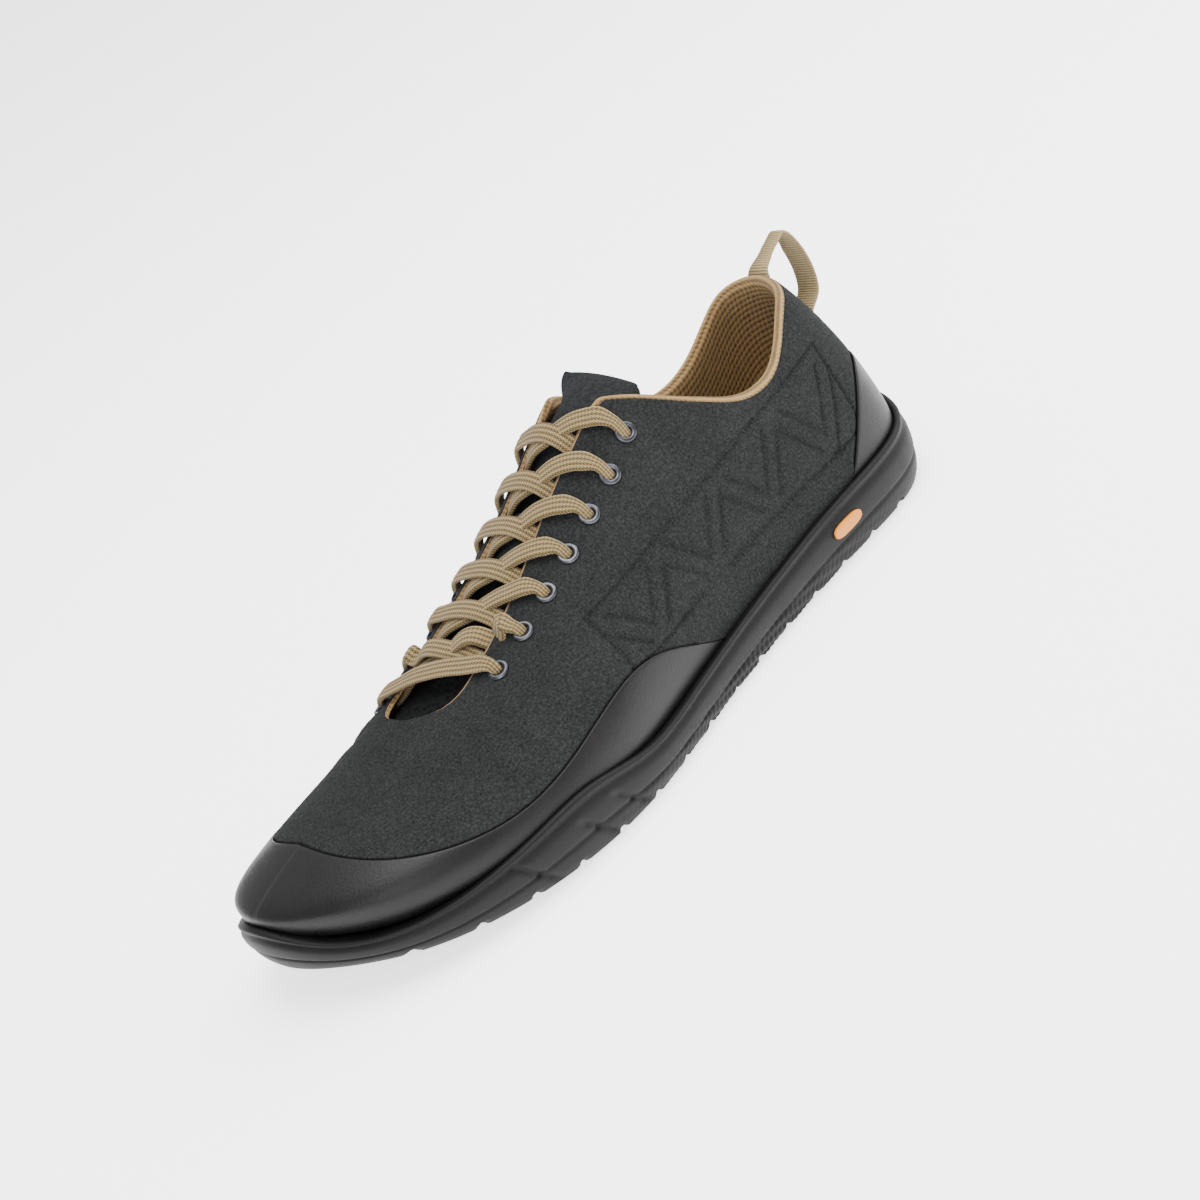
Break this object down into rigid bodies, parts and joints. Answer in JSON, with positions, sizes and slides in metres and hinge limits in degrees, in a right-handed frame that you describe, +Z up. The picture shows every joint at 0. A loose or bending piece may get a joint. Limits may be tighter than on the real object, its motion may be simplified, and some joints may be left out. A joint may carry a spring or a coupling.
{
  "type": "barefoot shoe",
  "caption": "Low barefoot shoe for the left foot: wide toe box, thin one-piece rubber sole, laced suede upper with knitted lining and heel pull loop.",
  "frame": {"origin": "middle of the bounding box on the floor, under the shoe", "axes": "+X from the heel to the toe, +Y to the outer side of the left foot, +Z up"},
  "size_m": [0.2866, 0.1034, 0.0938],
  "materials": {
    "rubber": "moulded black rubber, matt with a faint sheen",
    "suede": "short-napped anthracite suede",
    "coated_leather": "smooth satin coated leather",
    "lining": "golden-tan ribbed knit",
    "webbing": "woven beige tape",
    "gunmetal": "dark polished metal",
    "amber": "moulded amber plastic"
  },
  "bodies": {
    "root": {"outsole": "rubber", "upper": "suede", "tongue": "suede", "lace_keeper": "suede", "insole": "lining", "toe_guard": "coated_leather", "heel_counter": "coated_leather", "lace_bar": "webbing", "lace_crossing_1": "webbing", "lace_crossing_2": "webbing", "lace_crossing_3": "webbing", "lace_crossing_4": "webbing", "lace_crossing_5": "webbing", "lace_crossing_6": "webbing", "pull_loop": "webbing", "sole_badge": "amber", "eyelet_outer_1": "gunmetal", "eyelet_outer_2": "gunmetal", "eyelet_outer_3": "gunmetal", "eyelet_outer_4": "gunmetal", "eyelet_outer_5": "gunmetal", "eyelet_outer_6": "gunmetal", "eyelet_outer_7": "gunmetal", "eyelet_inner_1": "gunmetal", "eyelet_inner_2": "gunmetal", "eyelet_inner_3": "gunmetal", "eyelet_inner_4": "gunmetal", "eyelet_inner_5": "gunmetal", "eyelet_inner_6": "gunmetal", "eyelet_inner_7": "gunmetal"}
  },
  "joints": []
}
